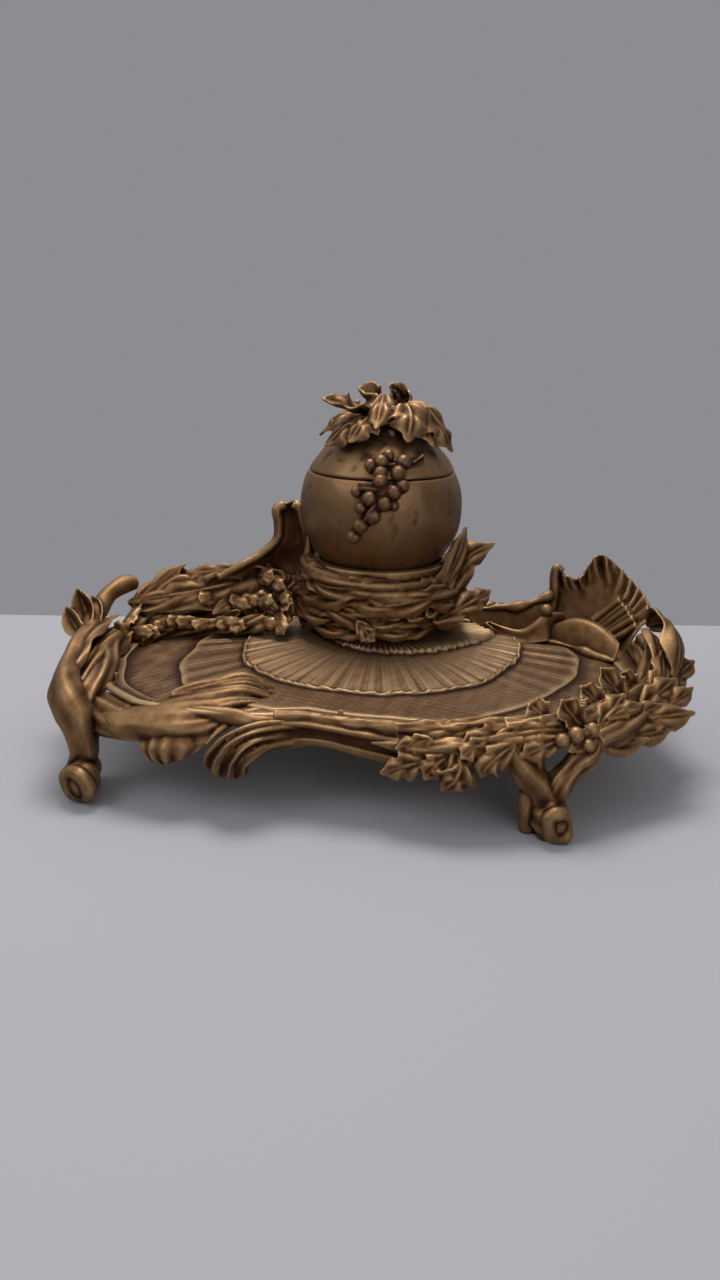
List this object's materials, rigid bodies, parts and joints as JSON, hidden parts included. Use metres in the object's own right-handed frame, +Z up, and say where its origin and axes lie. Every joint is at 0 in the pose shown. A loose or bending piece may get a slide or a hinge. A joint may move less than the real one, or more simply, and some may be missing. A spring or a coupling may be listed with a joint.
{
  "type": "desk inkstand",
  "caption": "Footed desk inkstand: fluted shell tray in a leafy scroll frame, with a ball-shaped ink pot under a hinged lid and a lift-out glass cup.",
  "frame": {"origin": "centre of the footprint's bounding box, at the level of the foot pads", "axes": "+Z up; +X to the writer's right along the tray's long side; +Y away from the writer"},
  "size_m": [0.2732, 0.1918, 0.1562],
  "materials": {
    "tray_bronze": "satin gilt bronze, brown patina",
    "casting_bronze": "gilt bronze, worn bright on the high places, dark in the hollows",
    "pot_bronze": "brown patinated bronze with worn gilding",
    "fixing_brass": "turned brass",
    "liner_glass": "clear glass"
  },
  "bodies": {
    "base": {"shell_tray": "tray_bronze", "left_branch_leg": "casting_bronze", "left_rear_scroll": "casting_bronze", "front_left_cartouche": "casting_bronze", "front_moulding": "casting_bronze", "front_leaf_spray": "casting_bronze", "right_front_leg": "casting_bronze", "right_leaf_branch": "casting_bronze", "rear_right_crest": "casting_bronze", "rear_rim_moulding": "casting_bronze", "rear_left_foot": "casting_bronze", "rear_right_foot": "casting_bronze", "leaf_nest": "casting_bronze", "pot_body": "pot_bronze", "grape_cluster_pot": "pot_bronze", "hinge_lower_leaf": "fixing_brass", "hinge_pin": "fixing_brass", "pot_stud": "fixing_brass", "pot_washer": "fixing_brass", "pot_nut": "fixing_brass", "screw_left_branch_leg": "fixing_brass", "screw_left_rear_scroll": "fixing_brass", "screw_front_left_cartouche": "fixing_brass", "screw_front_moulding": "fixing_brass", "screw_front_leaf_spray": "fixing_brass", "screw_right_front_leg": "fixing_brass", "screw_right_leaf_branch": "fixing_brass", "screw_rear_right_crest": "fixing_brass", "screw_rear_rim_moulding": "fixing_brass", "screw_rear_left_foot": "fixing_brass", "screw_rear_right_foot": "fixing_brass"},
    "lid": {"lid_shell": "pot_bronze", "vine_leaf_finial": "casting_bronze", "finial_nut": "fixing_brass", "grape_cluster_lid": "pot_bronze", "hinge_upper_leaf": "fixing_brass"},
    "liner": {"glass_liner": "liner_glass"}
  },
  "joints": [
    {"name": "lid_hinge", "type": "hinge", "parent": "base", "child": "lid", "pos_m": [0.0034, 0.08425, 0.1164], "axis": [-1, 0, 0], "range_deg": [0, 100]},
    {"name": "liner_lift", "type": "slide", "parent": "base", "child": "liner", "axis": [0, 0, 1], "range_m": [0, 0.008]}
  ]
}
